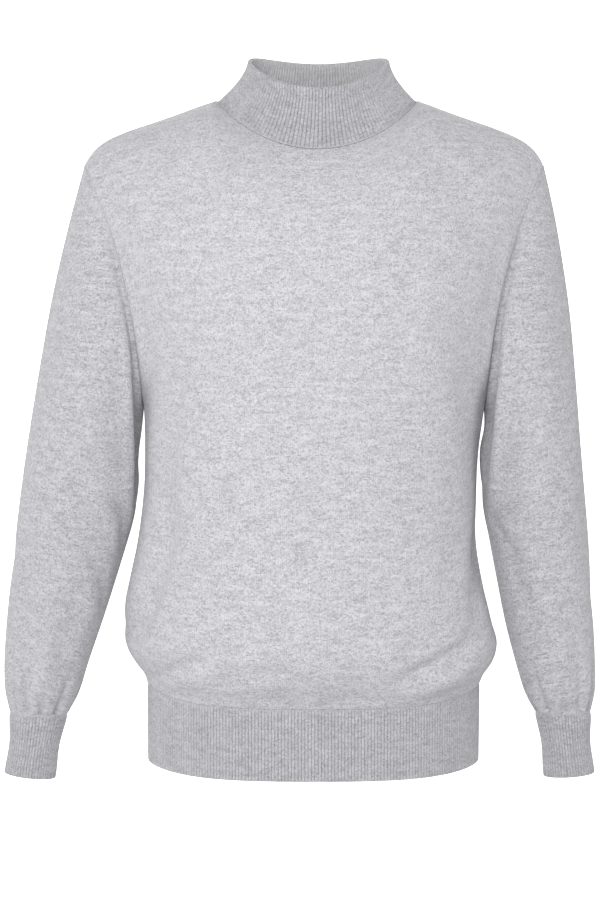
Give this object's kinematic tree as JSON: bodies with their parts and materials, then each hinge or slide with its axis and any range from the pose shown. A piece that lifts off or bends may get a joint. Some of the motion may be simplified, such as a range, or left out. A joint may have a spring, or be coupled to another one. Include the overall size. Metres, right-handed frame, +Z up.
{
  "type": "turtleneck sweater",
  "caption": "Light grey fine-knit turtleneck sweater, filled out as worn and hollow, with a folded rib collar, rib cuffs and a rib hem that the body blouses over.",
  "frame": {"origin": "midway between the two high neck points, where the collar meets the shoulders and the wearer holds the sweater up", "axes": "+Z up through the neck opening, +X to the wearer's left, -Y to the front"},
  "size_m": [0.5875, 0.2762, 0.7216],
  "materials": {
    "jersey": "soft fine-gauge marl jersey, matt",
    "collar_rib": "1x1 rib folded double, matt",
    "hem_rib": "fine 1x1 rib, matt",
    "cuff_rib": "fine 1x1 rib, matt"
  },
  "bodies": {
    "root": {"front": "jersey", "back": "jersey", "sleeve_right": "jersey", "sleeve_left": "jersey", "collar": "collar_rib", "hem_rib": "hem_rib", "cuff_right": "cuff_rib", "cuff_left": "cuff_rib"}
  },
  "joints": []
}
